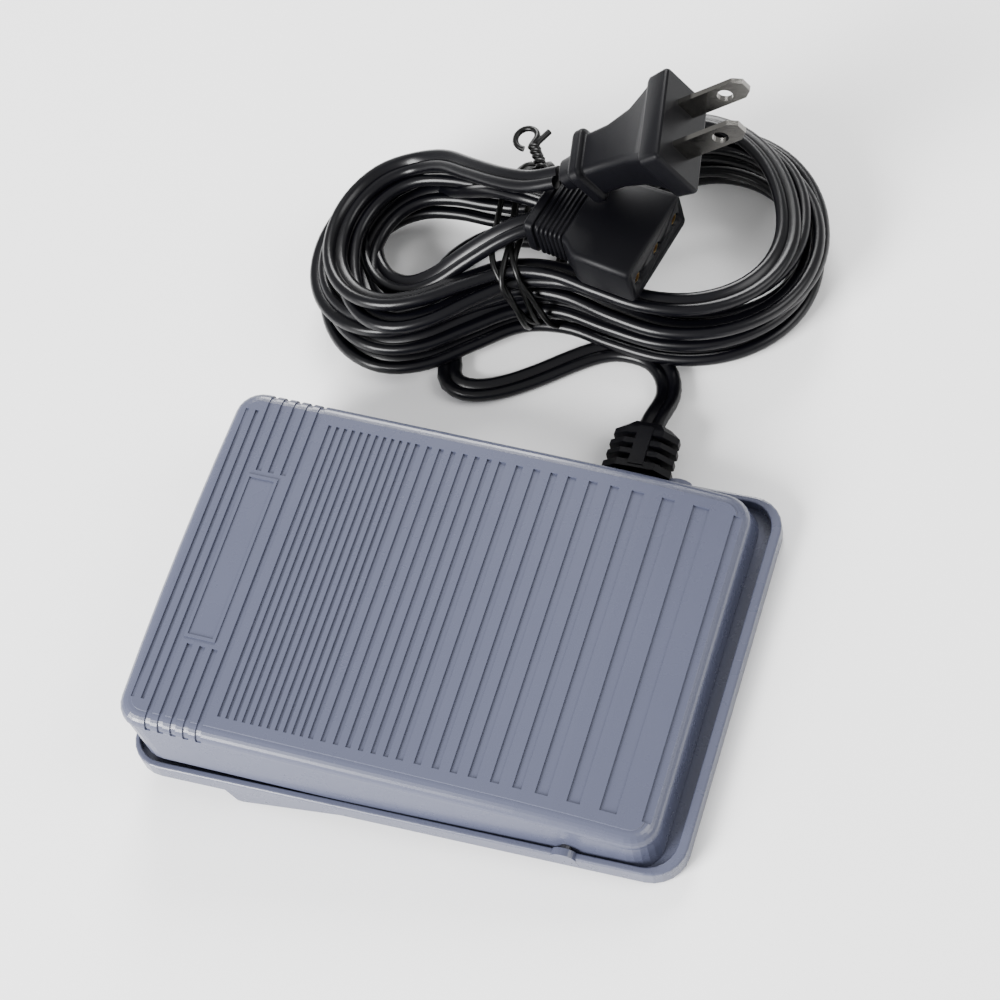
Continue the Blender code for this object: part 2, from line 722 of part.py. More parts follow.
def speed_control():
    """The potentiometer, its shaft and the lever that the treadle's rib pushes down."""
    x, z = LEVER_PIVOT
    body = box("potentiometer", (x - 5, x + 5), (13.4, 21.0), (BOARD_Z[1] + 0.1, 12.3), "component",
               bevel=0.4)
    cut(body, cylinder("pot_bore", (x, 15.0, z), 1.58, 6.0, "Y"))
    shaft = cylinder("control_shaft", (x, 12.0, z), 1.5, 9.4, "Y", "nickel")
    set_origin(shaft, (x, 12.0, z))
    tip_x = x - LEVER_LENGTH * math.cos(LEVER_REST)
    tip_z = z + LEVER_LENGTH * math.sin(LEVER_REST)
    outline = []
    steps = 8
    for i in range(steps + 1):
        turn = -math.pi / 2 + LEVER_REST * -1 + math.pi * i / steps
        outline.append((x + 3.1 * math.cos(turn), z + 3.1 * math.sin(turn)))
    for i in range(steps + 1):
        turn = math.pi / 2 - LEVER_REST + math.pi * i / steps
        outline.append((tip_x + 1.5 * math.cos(turn), tip_z + 1.5 * math.sin(turn)))
    lever = slab("speed_lever", outline, *LEVER_Y, finish="white_pvc", upright=True)
    cut(lever, cylinder("lever_bore", (x, 10.5, z), 1.6, 6.0, "Y"))
    set_origin(lever, (x, 10.5, z))


def heat_sink():
    """Finned aluminium plate with the triac screwed to it."""
    base = BOARD_Z[1] + 0.1
    shape = bmesh.new()
    x = (-80.0, -62.0)
    y = (22.0, 35.5)
    add_box(shape, x, y, (base, base + 1.2))
    sink = from_bmesh("heat_sink", shape, "aluminium")
    for i in range(3):
        fin_y = 31.0 + 1.9 * i
        join(sink, box(f"fin_{i}", x, (fin_y, fin_y + 0.7), (base + 0.6, 12.2)))
    cut(sink, cylinder("sink_hole", (-76.5, 26.2, 5.7), 1.2, 3.0, sides=16))
    tab = box("triac", (-79.0, -63.5), (22.4, 30.0), (base + 1.3, base + 2.6), "component")
    join(tab, box("triac_case", (-72.8, -63.9), (22.4, 30.0), (base + 1.4, base + 5.6), bevel=0.3))
    cut(tab, cylinder("triac_hole", (-76.5, 26.2, 7.0), 1.2, 4.0, sides=16))
    pan_screw("triac_screw", -76.5, 26.2, base + 2.65, 2.5)


def suppressors():
    """Capacitor, choke, trimmer and resistors on the board."""
    base = BOARD_Z[1] + 0.1
    box("film_capacitor", (-75.2, -57.7), (-12.5, -6.0), (base, base + 6.8), "capacitor", bevel=0.8)
    choke = bmesh.new()
    matrix = Matrix.Translation((-62.0, 3.0, base + 2.7))
    ring_steps = 20
    side_steps = 10
    rows = []
    for i in range(ring_steps):
        turn = 2 * math.pi * i / ring_steps
        row = []
        for j in range(side_steps):
            roll = 2 * math.pi * j / side_steps
            reach = 4.8 + 2.3 * math.cos(roll)
            spot = Vector((reach * math.cos(turn), reach * math.sin(turn), 2.6 * math.sin(roll)))
            row.append(choke.verts.new(matrix @ spot))
        rows.append(row)
    for i in range(ring_steps):
        for j in range(side_steps):
            corners = (rows[i][j], rows[(i + 1) % ring_steps][j],
                       rows[(i + 1) % ring_steps][(j + 1) % side_steps],
                       rows[i][(j + 1) % side_steps])
            choke.faces.new(corners)
    bmesh.ops.recalc_face_normals(choke, faces=choke.faces)
    from_bmesh("choke_coil", choke, "copper")
    trimmer = box("trimmer", (-82.0, -75.6), (-4.0, 2.4), (base, base + 4.0), "terminal", bevel=0.3)
    join(trimmer, cylinder("trimmer_rotor", (-78.8, -0.8, base + 4.2), 2.4, 1.2))
    for i in range(2):
        resistor(i + 1, -79.0, 8.0 + 4.5 * i, base)


def resistor(number, x, y, base):
    """An axial resistor on bent leads."""
    body = cylinder(f"resistor_{number}", (x, y, base + 2.0), 1.2, 6.4, "X", "resistor", sides=16)
    for end in (-1, 1):
        lead = box(f"lead_{number}_{end}", sorted((x + end * 3.0, x + end * 5.0)),
                   (y - 0.3, y + 0.3), (base + 1.7, base + 2.3))
        leg = box(f"leg_{number}_{end}", sorted((x + end * 4.4, x + end * 5.0)),
                  (y - 0.3, y + 0.3), (base, base + 2.2))
        join(body, lead)
        join(body, leg)


def terminal_block():
    """Two-way terminal block, its screws and the lead's two cores."""
    base = BOARD_Z[1] + 0.1
    block = box("terminal_block", (-60.0, -51.5), (20.3, 31.3), (base, base + 6.6), "terminal", 0.3)
    for i, y in enumerate((23.1, 28.5)):
        mouth = cylinder(f"wire_mouth_{i}", (-52.0, y, base + 2.4), 1.35, 6.0, "X", sides=16)
        well = cylinder(f"screw_well_{i}", (-55.8, y, base + 6.0), 1.75, 3.6, sides=16)
        cut(block, mouth, well)
        pan_screw(f"terminal_screw_{i + 1}", -55.8, y, base + 4.9, 0.65, 0.8, 1.45)
    cores = (((-54.0, 23.1, 7.5), (-49.0, 23.1, 7.5), (-44.0, 24.8, 7.2), (-40.4, 28.8, 5.6),
              (-38.4, 33.6, 4.3), (-37.4, 38.0, 3.9), (-37.2, 43.0, OUTLET_Z)),
             ((-54.0, 28.5, 7.5), (-50.0, 28.8, 7.5), (-46.4, 31.0, 6.6), (-43.4, 34.6, 5.0),
              (-41.8, 38.6, 4.1), (-41.0, 43.0, OUTLET_Z)))
    for name, points in zip(("live", "return"), cores):
        tube(f"core_wire_{name}", smooth_route(points, 1.8), 1.0, "black_pvc")


def relief_block(name, sections):
    """An eight-sided block along y, through (y, half width, half height) sections."""
    outline = ((1, -0.3), (1, 0.3), (0.56, 1), (-0.56, 1),
               (-1, 0.3), (-1, -0.3), (-0.56, -1), (0.56, -1))
    shape = bmesh.new()
    rings = []
    for y, half_x, half_z in sections:
        rings.append([shape.verts.new((OUTLET_X + half_x * u, y, OUTLET_Z + half_z * v))
                      for u, v in outline])
    for low, high in zip(rings, rings[1:]):
        add_wall(shape, low, high)
    shape.faces.new(rings[0])
    shape.faces.new(rings[-1])
    bmesh.ops.recalc_face_normals(shape, faces=shape.faces)
    return from_bmesh(name, shape, None)


def strain_relief():
    """Moulded relief: inner flange, neck through the rim, fins on a spine and a tapered tip."""
    def bar(name, half_x, y, half_z, finish=None):
        return box(name, (OUTLET_X - half_x, OUTLET_X + half_x), y,
                   (OUTLET_Z - half_z, OUTLET_Z + half_z), finish)

    relief = bar("strain_relief", 5.5, (43.4, 54.6), 1.9, "black_pvc")
    join(relief, bar("relief_inner", 7.0, (43.3, 46.0), 2.0),
         relief_block("relief_flange", ((51.4, 8.8, 4.1), (53.3, 8.8, 4.1))))
    join(relief, relief_block("relief_core", ((52.6, 4.3, 2.9), (62.3, 4.3, 2.9))))
    fins = [relief_block(f"relief_fin_{i}", ((y, 8.6, 4.0), (y + 1.45, 8.6, 4.0)))
            for i, y in enumerate((55.1, 58.1))]
    join(relief, *fins, relief_block("relief_tip", ((61.1, 8.3, 4.1), (62.9, 8.3, 4.1),
                                                    (RELIEF_END_Y, 5.6, 3.2))))
    join(relief, bar("relief_spine", 1.9, (52.3, 63.3), 4.3))


def stop_screws():
    """Shoulder screws that keep the springs from lifting the treadle past its rest."""
    for side, x, y in mirrored(*STOP_AT):
        profile = ((0.0, 15.5), (1.4, 15.5), (1.4, -0.55), (3.1, -0.6), (3.1, -1.9), (2.6, -2.3),
                   (0.0, -2.3))
        turned(f"stop_screw_{side}", profile, (x, y, 0), "steel", steps=16)


def hank_reach(u, widest):
    """How far the hank spreads to one side: two lobes and a waist at the tie."""
    ends = math.sqrt(max(0.0, 1 - (abs(u) / HANK_HALF_LENGTH) ** 4))
    waist = 1 - 0.36 * math.exp(-(u / 28.0) ** 2)
    return widest * ends * waist


def hank():
    """The bundled turns of the lead as one solid of their outer shape."""
    steps = 22
    stations = [-HANK_HALF_LENGTH * math.cos(math.pi * i / steps) for i in range(steps + 1)]
    lower = [(u, -hank_reach(u, HANK_NEAR_WIDTH)) for u in stations]
    upper = [(u, hank_reach(u, HANK_FAR_WIDTH)) for u in reversed(stations[1:-1])]
    bundle = slab("lead_hank", lower + upper, 0.2, HANK_TOP, "black_pvc", parent=None)
    bundle.location = (HANK_CENTRE[0] * MM, HANK_CENTRE[1] * MM, 0)
    bundle.rotation_euler = (0, 0, HANK_TURN)


def lead_tube():
    """The lead from the strain relief to the hank."""
    points = smooth_route(LEAD_ROUTE, 3.2)
    tube("lead_tube", points, TUBE_RADIUS, "black_pvc", parent=None)


def twist_tie():
    """The tie over the hank's waist, down to the surface on both sides."""
    top = HANK_TOP + 1.0 + GAP
    bend = 1.4
    sides = []
    for sign, widest in ((-1, HANK_NEAR_WIDTH), (1, HANK_FAR_WIDTH)):
        reach = hank_reach(TIE_ALONG - 1.0, widest) + 1.0 + GAP
        side = [(sign * reach, 1.2), (sign * reach, top * 0.5), (sign * reach, top - bend)]
        for i in range(1, 4):
            turn = math.pi / 2 * i / 3
            side.append((sign * (reach - bend * (1 - math.cos(turn))),
                         top - bend + bend * math.sin(turn)))
        sides.append(side)
    path = sides[0] + list(reversed(sides[1]))
    wire = tube("twist_tie", [(TIE_ALONG, v, z) for v, z in path], 1.0, "black_pvc", parent=None)
    wire.location = (HANK_CENTRE[0] * MM, HANK_CENTRE[1] * MM, 0)
    wire.rotation_euler = (0, 0, HANK_TURN)


def connector():
    """Flat three-way machine connector with its brass contacts."""
    outline = ((-16.5, -9.3), (-12.0, -9.6), (-6.0, -13.2), (15.5, -13.7), (16.5, -12.7),
               (16.5, 12.7), (15.5, 13.7), (-6.0, 13.2), (-12.0, 9.6), (-16.5, 9.3))
    half = CONNECTOR_THICKNESS / 2
    body = slab("machine_connector", outline, -half, half, "black_pvc", parent=None)
    frame = Matrix.Translation(Vector(CONNECTOR_CENTRE) * MM) @ Matrix.Rotation(
        CONNECTOR_TURN, 4, "Z")
    body.matrix_world = frame
    for i in range(3):
        y = SOCKET_PITCH * (i - 1)
        socket = cylinder(f"socket_{i}", (12.0, y, 0), 1.9, 12.0, "X", parent=None, sides=20)
        socket.matrix_world = frame
        cut(body, socket)
        contact = cylinder(f"connector_contact_{i + 1}", (11.2, y, 0), 1.6, 9.0, "X", "brass",
                           sides=16, parent=None)
        bore = cylinder(f"contact_bore_{i}", (12.0, y, 0), 1.1, 9.0, "X", parent=None, sides=16)
        contact.matrix_world = frame
        bore.matrix_world = frame
        cut(contact, bore)


def plug_frame():
    """The plug's frame: x out along the blades, y from blade to blade."""
    return (Matrix.Translation(Vector(PLUG_FACE_CENTRE) * MM)
            @ Matrix.Rotation(PLUG_TURN, 4, "Z") @ Matrix.Rotation(-PLUG_PITCH_UP, 4, "Y"))


def rounded_section(a, half_b, half_n, radius):
    """A rounded rectangle across the plug at a distance a along it."""
    points = []
    for centre_b, centre_n, start in ((1, 1, 0), (-1, 1, 1), (-1, -1, 2), (1, -1, 3)):
        for i in range(4):
            turn = math.pi / 2 * (start + i / 3)
            points.append((a, centre_b * (half_b - radius) + radius * math.cos(turn),
                           centre_n * (half_n - radius) + radius * math.sin(turn)))
    return points


def wall_plug():
    """Two-blade wall plug: grip body, collar and front flange, with its blades."""
    sections = ((-36.0, 3.6, 3.2, 1.6), (-30.2, 4.2, 4.0, 1.8), (-30.0, 7.6, 6.6, 2.0),
                (-26.6, 7.9, 6.8, 2.0), (-26.4, 6.6, 5.4, 1.6), (-13.0, 8.4, 6.4, 1.8),
                (-6.5, 11.6, 7.6, 1.8), (-6.0, 13.2, 8.2, 1.6), (0.0, 13.9, 8.6, 1.2))
    shape = bmesh.new()
    rows = [[shape.verts.new(p) for p in rounded_section(*s)] for s in sections]
    count = len(rows[0])
    for low, high in zip(rows, rows[1:]):
        for i in range(count):
            j = (i + 1) % count
            shape.faces.new((low[i], low[j], high[j], high[i]))
    shape.faces.new(rows[0])
    shape.faces.new(rows[-1])
    bmesh.ops.recalc_face_normals(shape, faces=shape.faces)
    body = from_bmesh("wall_plug", shape, "black_pvc", parent=None)
    frame = plug_frame()
    body.matrix_world = frame
    length, thick, wide = BLADE_SIZE
    for name, sign in (("near", -1), ("far", 1)):
        y = sign * BLADE_PITCH / 2
        slot = box(f"blade_slot_{name}", (-5.0, 3.0), (y - thick / 2 - 0.15, y + thick / 2 + 0.15),
                   (-wide / 2 - 0.15, wide / 2 + 0.15), parent=None)
        slot.matrix_world = frame
        cut(body, slot)
        outline = ((-4.8, -wide / 2), (length - 2.2, -wide / 2), (length, -wide / 4),
                   (length, wide / 4), (length - 2.2, wide / 2), (-4.8, wide / 2))
        blade = slab(f"plug_blade_{name}", outline, y - thick / 2, y + thick / 2, "nickel",
                     upright=True, parent=None)
        hole = cylinder(f"blade_hole_{name}", (11.7, y, 0), 2.0, 4.0, "Y", parent=None, sides=20)
        blade.matrix_world = frame
        hole.matrix_world = frame
        cut(blade, hole)


def build():
    """Make every part of the pedal and its lead."""
    base_tray()
    treadle()
    hinge_pins()
    return_springs()
    rubber_feet()
    stop_screws()
    circuit_board()
    speed_control()
    heat_sink()
    suppressors()
    terminal_block()
    strain_relief()
    lead_tube()
    hank()
    twist_tie()
    connector()
    wall_plug()
    bpy.context.view_layer.update()


build()
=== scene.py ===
"""Looks for the sewing machine pedal: its camera, lead, plugs, materials and light.

Lengths are in millimetres and are turned to metres where an object is made.
"""

import json
import math

import bmesh
import bpy
from mathutils import Euler, Matrix, Vector

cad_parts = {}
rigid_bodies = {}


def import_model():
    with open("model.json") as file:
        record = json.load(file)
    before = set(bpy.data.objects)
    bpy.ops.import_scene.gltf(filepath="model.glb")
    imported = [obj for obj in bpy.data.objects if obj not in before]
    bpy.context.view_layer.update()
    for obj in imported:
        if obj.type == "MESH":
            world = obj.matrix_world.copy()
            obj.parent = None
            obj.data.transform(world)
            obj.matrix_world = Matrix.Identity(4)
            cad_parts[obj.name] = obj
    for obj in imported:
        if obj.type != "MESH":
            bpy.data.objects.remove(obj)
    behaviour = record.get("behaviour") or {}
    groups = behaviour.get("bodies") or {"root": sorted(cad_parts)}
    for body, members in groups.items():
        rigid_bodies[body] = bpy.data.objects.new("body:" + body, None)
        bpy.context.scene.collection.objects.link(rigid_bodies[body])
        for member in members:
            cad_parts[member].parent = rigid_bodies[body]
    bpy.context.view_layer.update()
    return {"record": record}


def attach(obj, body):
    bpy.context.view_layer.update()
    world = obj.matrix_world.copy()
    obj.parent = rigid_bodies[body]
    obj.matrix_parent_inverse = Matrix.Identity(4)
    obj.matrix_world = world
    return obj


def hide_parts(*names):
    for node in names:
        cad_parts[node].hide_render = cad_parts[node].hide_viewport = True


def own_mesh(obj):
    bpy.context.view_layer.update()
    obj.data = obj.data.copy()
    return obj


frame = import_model()

MM = 0.001

# Camera, fitted to the pedal's outline: its place, its turn in degrees about x, y and z, its lens
CAMERA_AT = (230.8, -284.0, 593.5)
CAMERA_TURN = (32.14, 12.08, 17.34)
CAMERA_LENS = 103.0

# Flat two-core lead
CORD_WIDTH = 6.6
CORD_THICKNESS = 3.4

# The lead's free stretch, as part.py places it
LEAD_ROUTE = (
    (30.2, 65.3, 6.3), (30.4, 68.0, 6.0), (30.7, 71.5, 4.9), (30.9, 75.0, 3.5),
    (30.6, 78.5, 2.5), (29.4, 82.2, 2.2), (27.0, 85.6, 2.2), (23.4, 88.2, 2.2),
    (18.6, 89.4, 2.2), (13.4, 89.3, 2.2), (8.2, 87.4, 2.2), (2.6, 83.8, 2.2),
    (-3.6, 79.2, 2.2), (-9.8, 75.2, 2.2), (-15.8, 72.4, 2.2), (-21.4, 71.4, 2.2),
    (-25.8, 72.6, 2.2), (-28.0, 75.4, 2.2), (-28.6, 78.1, 2.2),
)

# The hank, in its own frame: u along it, v across it
HANK_CENTRE = (-2.7, 111.6)
HANK_TURN = math.radians(11.7)
TIE_ALONG = -10.0
WAIST_PINCH = 0.52
WAIST_LENGTH = 27.0
LAYER_PITCH = 3.25
LOWEST_LAYER = 2.1
LEFT_REACH = (57.0, 67.0, 60.0, 65.0, 55.0, 68.0, 59.0, 62.0)
RIGHT_REACH = (57.0, 64.0, 54.0, 66.0, 59.0, 65.0, 52.0, 61.0)
LEFT_NEAR = (31.0, 35.0, 27.0, 33.0, 26.0, 29.0, 34.0, 27.0)
LEFT_FAR = (21.0, 29.0, 25.0, 31.0, 26.0, 31.0, 27.0, 29.0)
RIGHT_NEAR = (29.0, 32.0, 23.0, 33.0, 26.0, 34.0, 23.0, 31.0)
RIGHT_FAR = (31.0, 37.0, 28.0, 38.0, 32.0, 28.0, 38.0, 31.0)
SIDE_BLEND = 34.0
END_DROOP = 5.0
DROOP_SHARE = 0.3
DROOP_REACH = 60.0
POINTS_PER_TURN = 32
ENTRY_TURN = 0.19
TO_CONNECTOR_TURN = 3.13
FROM_CONNECTOR_TURN = 3.15
TO_PLUG_TURN = 7.13
LEAD_SPACING = 2.4

# The twist tie
TIE_RADIUS = 0.8
TIE_WRAPS = 4
TIE_HALF_WIDTH = 20.0
TIE_HALF_HEIGHT = 13.3
TIE_HEIGHT = 14.8
TIE_END_START = (-6.0, 13.5, 28.6)
TIE_END_FINISH = (-9.2, 21.6, 28.6)
TIE_LOOP_CENTRE = (-11.6, 25.0)
TIE_LOOP_RADIUS = 3.0

# Machine connector and wall plug, where the CAD has them
CONNECTOR_CENTRE = (10.5, 104.5, 33.0)
CONNECTOR_TURN = math.radians(-13.0)
SOCKET_PITCH = 9.5
SOCKET_RADIUS = 1.9
SOCKET_MIDDLE = 12.0
SOCKET_DEPTH = 12.0
PLUG_FACE_CENTRE = (33.3, 117.2, 60.5)
PLUG_PITCH_UP = math.radians(27.0)
PLUG_TURN = math.radians(10.0)
PLUG_EDGE = 0.35


def add_camera():
    """The camera at the viewing angle of the object's picture."""
    data = bpy.data.cameras.new("camera")
    data.lens = CAMERA_LENS
    data.sensor_width = 36
    data.clip_end = 20
    camera = bpy.data.objects.new("camera", data)
    bpy.context.scene.collection.objects.link(camera)
    turn = Euler([math.radians(angle) for angle in CAMERA_TURN]).to_matrix().to_4x4()
    camera.matrix_world = Matrix.Translation(Vector(CAMERA_AT) * MM) @ turn
    bpy.context.scene.camera = camera


add_camera()


# ---------------------------------------------------------------- materials
class Shader:
    """A Principled material under construction, with helpers for its node tree."""

    def __init__(self, name, colour, roughness, metallic=0.0):
        self.material = bpy.data.materials.new(name)
        self.material.use_nodes = True
        self.tree = self.material.node_tree
        self.principled = self.tree.nodes["Principled BSDF"]
        self.principled.inputs["Base Color"].default_value = (*colour, 1)
        self.principled.inputs["Roughness"].default_value = roughness
        self.principled.inputs["Metallic"].default_value = metallic
        self.place = self.node("ShaderNodeTexCoord").outputs["Object"]
        self.height = None

    def node(self, kind, **values):
        """Add a node and set its plain inputs."""
        made = self.tree.nodes.new(kind)
        for name, value in values.items():
            made.inputs[name].default_value = value
        return made

    def noise(self, scale, detail=4.0, roughness=0.55, stretch=(1, 1, 1)):
        """A noise texture's value over the object."""
        mapping = self.node("ShaderNodeMapping", Scale=stretch)
        self.tree.links.new(self.place, mapping.inputs["Vector"])
        made = self.node("ShaderNodeTexNoise", Scale=scale, Detail=detail, Roughness=roughness)
        self.tree.links.new(mapping.outputs["Vector"], made.inputs["Vector"])
        return made.outputs["Fac"]

    def ramp(self, value, low, high, start, end):
        """Map a value between two numbers to a range."""
        made = self.node("ShaderNodeMapRange")
        made.inputs["From Min"].default_value = low
        made.inputs["From Max"].default_value = high
        made.inputs["To Min"].default_value = start
        made.inputs["To Max"].default_value = end
        self.tree.links.new(value, made.inputs["Value"])
        return made.outputs["Result"]

    def tint(self, value, dark, light):
        """Colour the surface between two colours by a value."""
        made = self.node("ShaderNodeMix")
        made.data_type = "RGBA"
        made.inputs["A"].default_value = (*dark, 1)
        made.inputs["B"].default_value = (*light, 1)
        self.tree.links.new(value, made.inputs["Factor"])
        self.tree.links.new(made.outputs["Result"], self.principled.inputs["Base Color"])

    def rough(self, value):
        """Drive the roughness by a value."""
        self.tree.links.new(value, self.principled.inputs["Roughness"])

    def bump(self, value, distance, strength=1.0):
        """Add a bump, on top of any before it."""
        made = self.node("ShaderNodeBump", Strength=strength, Distance=distance)
        self.tree.links.new(value, made.inputs["Height"])
        if self.height is not None:
            self.tree.links.new(self.height, made.inputs["Normal"])
        self.height = made.outputs["Normal"]
        self.tree.links.new(self.height, self.principled.inputs["Normal"])


def scaled(colour, factor):
    """A colour made lighter or darker."""
    return tuple(min(1.0, c * factor) for c in colour)


def moulded(name, colour, roughness, grain=2600.0, depth=0.00003, spread=0.08, gloss=0.5):
    """Moulded plastic: fine spark-eroded grain, faint mottling and handling marks."""
    made = Shader(name, colour, roughness)
    made.principled.inputs["Specular IOR Level"].default_value = gloss
    mottle = made.noise(38.0, 5.0)
    made.tint(made.ramp(mottle, 0.3, 0.7, 0, 1), scaled(colour, 1 - spread),
              scaled(colour, 1 + spread))
    wear = made.noise(120.0, 6.0, 0.65)
    made.rough(made.ramp(wear, 0.3, 0.7, roughness - 0.01, roughness + 0.02))
    made.bump(made.noise(grain, 2.0), depth, 0.5)
    made.bump(made.noise(160.0, 3.0), depth, 0.02)
    return made.material


def metal(name, colour, roughness, stretch=(1, 1, 14), scale=900.0):
    """Metal with a drawn or brushed grain and faint tarnish."""
    made = Shader(name, colour, roughness, 1.0)
    made.tint(made.ramp(made.noise(240.0, 4.0), 0.3, 0.7, 0, 1), scaled(colour, 0.94),
              scaled(colour, 1.03))
    grain = made.noise(scale, 3.0, 0.6, stretch)
    made.rough(made.ramp(grain, 0.3, 0.7, roughness - 0.05, roughness + 0.07))
    made.bump(grain, 0.00001, 0.25)
    return made.material


def phenolic(name, colour):
    """Brown paper-phenolic board with a faint fibre."""
    made = Shader(name, colour, 0.5)
    fibre = made.noise(420.0, 5.0, 0.6, (1, 6, 1))
    made.tint(made.ramp(fibre, 0.3, 0.7, 0, 1), scaled(colour, 0.82), scaled(colour, 1.15))
    made.rough(made.ramp(fibre, 0.3, 0.7, 0.42, 0.6))
    made.bump(fibre, 0.00002, 0.3)
    return made.material


def winding(name, colour):
    """Enamelled copper wire wound round a core, with painted shade in the grooves between turns.
    """
    made = Shader(name, colour, 0.3, 0.9)
    wires = made.node("ShaderNodeTexWave", Scale=420.0, Distortion=1.2, Detail=1.0)
    made.tree.links.new(made.place, wires.inputs["Vector"])
    # Painted shade: the tint darkens the wave's troughs between wire turns to 45 % of the copper
    # colour.
    made.tint(wires.outputs["Fac"], scaled(colour, 0.45), colour)
    made.rough(made.ramp(made.noise(300.0), 0.3, 0.7, 0.22, 0.4))
    made.bump(wires.outputs["Fac"], 0.00015, 0.7)
    return made.material


HOUSING = moulded("housing_plastic", (0.066, 0.072, 0.111), 0.27, 3000.0, 0.00002, 0.015)
BLACK_PVC = moulded("black_pvc", (0.002, 0.002, 0.003), 0.40, 1800.0, 0.00002, 0.2, 0.12)
CORD_PVC = moulded("cord_pvc", (0.001, 0.001, 0.002), 0.29, 1400.0, 0.00001, 0.2, 0.26)
PLUG_PVC = moulded("plug_pvc", (0.002, 0.002, 0.003), 0.42, 2200.0, 0.00003, 0.15, 0.12)
TIE_COAT = moulded("tie_coat", (0.001, 0.001, 0.001), 0.32, 2000.0, 0.00002, 0.2, 0.25)
RUBBER = moulded("foot_rubber", (0.020, 0.020, 0.022), 0.75, 1200.0, 0.00006, 0.2)

SLOT_MATERIALS = {
    "housing": HOUSING,
    "black_pvc": BLACK_PVC,
    "rubber": RUBBER,
    "steel": metal("zinc_steel", (0.52, 0.52, 0.52), 0.34),
    "brass": metal("plain_brass", (0.62, 0.45, 0.20), 0.32),
    "nickel": metal("nickel_plate", (0.17, 0.165, 0.155), 0.16, (1, 1, 3), 500.0),
    "board": phenolic("board_phenolic", (0.26, 0.14, 0.05)),
    "aluminium": metal("extruded_aluminium", (0.62, 0.63, 0.65), 0.42, (14, 1, 1)),
    "component": moulded("component_epoxy", (0.030, 0.030, 0.035), 0.5, 1500.0, 0.00004, 0.15),
    "capacitor": moulded("capacitor_film", (0.50, 0.33, 0.04), 0.35, 900.0, 0.00003, 0.1),
    "terminal": moulded("terminal_polyamide", (0.04, 0.16, 0.08), 0.45, 1500.0, 0.00003, 0.1),
    "copper": winding("copper_winding", (0.55, 0.20, 0.08)),
    "resistor": moulded("resistor_lacquer", (0.50, 0.36, 0.20), 0.4, 1200.0, 0.00003, 0.1),
    "white_pvc": moulded("lever_acetal", (0.60, 0.60, 0.58), 0.4, 1600.0, 0.00002, 0.05),
}
BLACKENED_PIN = metal("blackened_pin", (0.09, 0.09, 0.10), 0.45)
NODE_MATERIALS = {"hinge_pin_near": BLACKENED_PIN, "hinge_pin_far": BLACKENED_PIN}


def finish_cad_nodes():
    """Give every CAD node its detailed material in place of its plain one."""
    for part in frame["record"]["subparts"]:
        node = bpy.data.objects[part["node"]]
        for slot in node.material_slots:
            slot.material = NODE_MATERIALS.get(part["node"], SLOT_MATERIALS[part["material_slot"]])


# ---------------------------------------------------------------- shapes
def to_mesh_object(name, shape, material, smooth_angle=40):
    """Turn millimetre geometry into a smooth-shaded object in the scene."""
    bmesh.ops.recalc_face_normals(shape, faces=shape.faces)
    bmesh.ops.scale(shape, vec=(MM, MM, MM), verts=shape.verts)
    mesh = bpy.data.meshes.new(name)
    shape.to_mesh(mesh)
    shape.free()
    mesh.shade_smooth()
    mesh.set_sharp_from_angle(angle=math.radians(smooth_angle))
    mesh.materials.append(material)
    made = bpy.data.objects.new(name, mesh)
    bpy.context.scene.collection.objects.link(made)
    return made


def skin(shape, rows):
    """Join rings of the same count into one closed tube."""
    rings = [[shape.verts.new(p) for p in row] for row in rows]
    for low, high in zip(rings, rings[1:]):
        for i in range(len(low)):
            j = (i + 1) % len(low)
            shape.faces.new((low[i], low[j], high[j], high[i]))
    shape.faces.new(rings[0])
    shape.faces.new(rings[-1])


def smooth_route(points, spacing):
    """Points at an even spacing on a smooth curve through given points."""
    knots = [Vector(p) for p in points]
    ends = [2 * knots[0] - knots[1], *knots, 2 * knots[-1] - knots[-2]]
    dense = []
    for a, b, c, d in zip(ends, ends[1:], ends[2:], ends[3:]):
        for step in range(16):
            t = step / 16
            dense.append(0.5 * (2 * b + (c - a) * t + (2 * a - 5 * b + 4 * c - d) * t * t
                                + (3 * b - a - 3 * c + d) * t ** 3))
    dense.append(knots[-1])
    length = sum((b - a).length for a, b in zip(dense, dense[1:]))
    count = max(2, round(length / spacing))
    even = [dense[0]]
    walked = 0.0
    for a, b in zip(dense, dense[1:]):
        step = (b - a).length
        while len(even) < count and walked + step >= length * len(even) / count:
            even.append(a.lerp(b, (length * len(even) / count - walked) / step))
        walked += step
    even.append(dense[-1])
    return even


def cord_profile():
    """The flat lead's outline across it: two round cores with a shallow web between."""
    radius = CORD_THICKNESS / 2
    offset = CORD_WIDTH / 2 - radius
    points = []
    for side in (1, -1):
        for i in range(7):
            turn = math.radians(-105 + 210 * i / 6) + (0 if side > 0 else math.pi)
            points.append((side * offset + radius * math.cos(turn), radius * math.sin(turn)))
        points.append((0.0, side * radius * 0.42))
    return points


def sweep(name, points, profile, roll, material):
    """Sweep an outline along a route, lying flat and turned by roll radians."""
    shape = bmesh.new()
    rows = []
    last = len(points) - 1
    for i, point in enumerate(points):
        ahead = (points[min(i + 1, last)] - points[max(i - 1, 0)]).normalized()
        across = Vector((0, 0, 1)).cross(ahead).normalized()
        through = ahead.cross(across)
        turn = roll(i / last)
        wide = across * math.cos(turn) + through * math.sin(turn)
        thin = through * math.cos(turn) - across * math.sin(turn)
        rows.append([point + wide * a + thin * b for a, b in profile])
    skin(shape, rows)
    return to_mesh_object(name, shape, material, 60)


# ---------------------------------------------------------------- the lead
def hank_to_world(u, v, z):
    """A place in the hank's frame as a place in the world."""
    c = math.cos(HANK_TURN)
    s = math.sin(HANK_TURN)
    return (HANK_CENTRE[0] + c * u - s * v, HANK_CENTRE[1] + s * u + c * v, z)


def between_turns(values, turn):
    """A value that changes smoothly from one turn of the hank to the next."""
    low = min(int(turn), len(values) - 1)
    high = min(low + 1, len(values) - 1)
    share = turn - int(turn)
    share = share * share * (3 - 2 * share)
    return values[low] * (1 - share) + values[high] * share


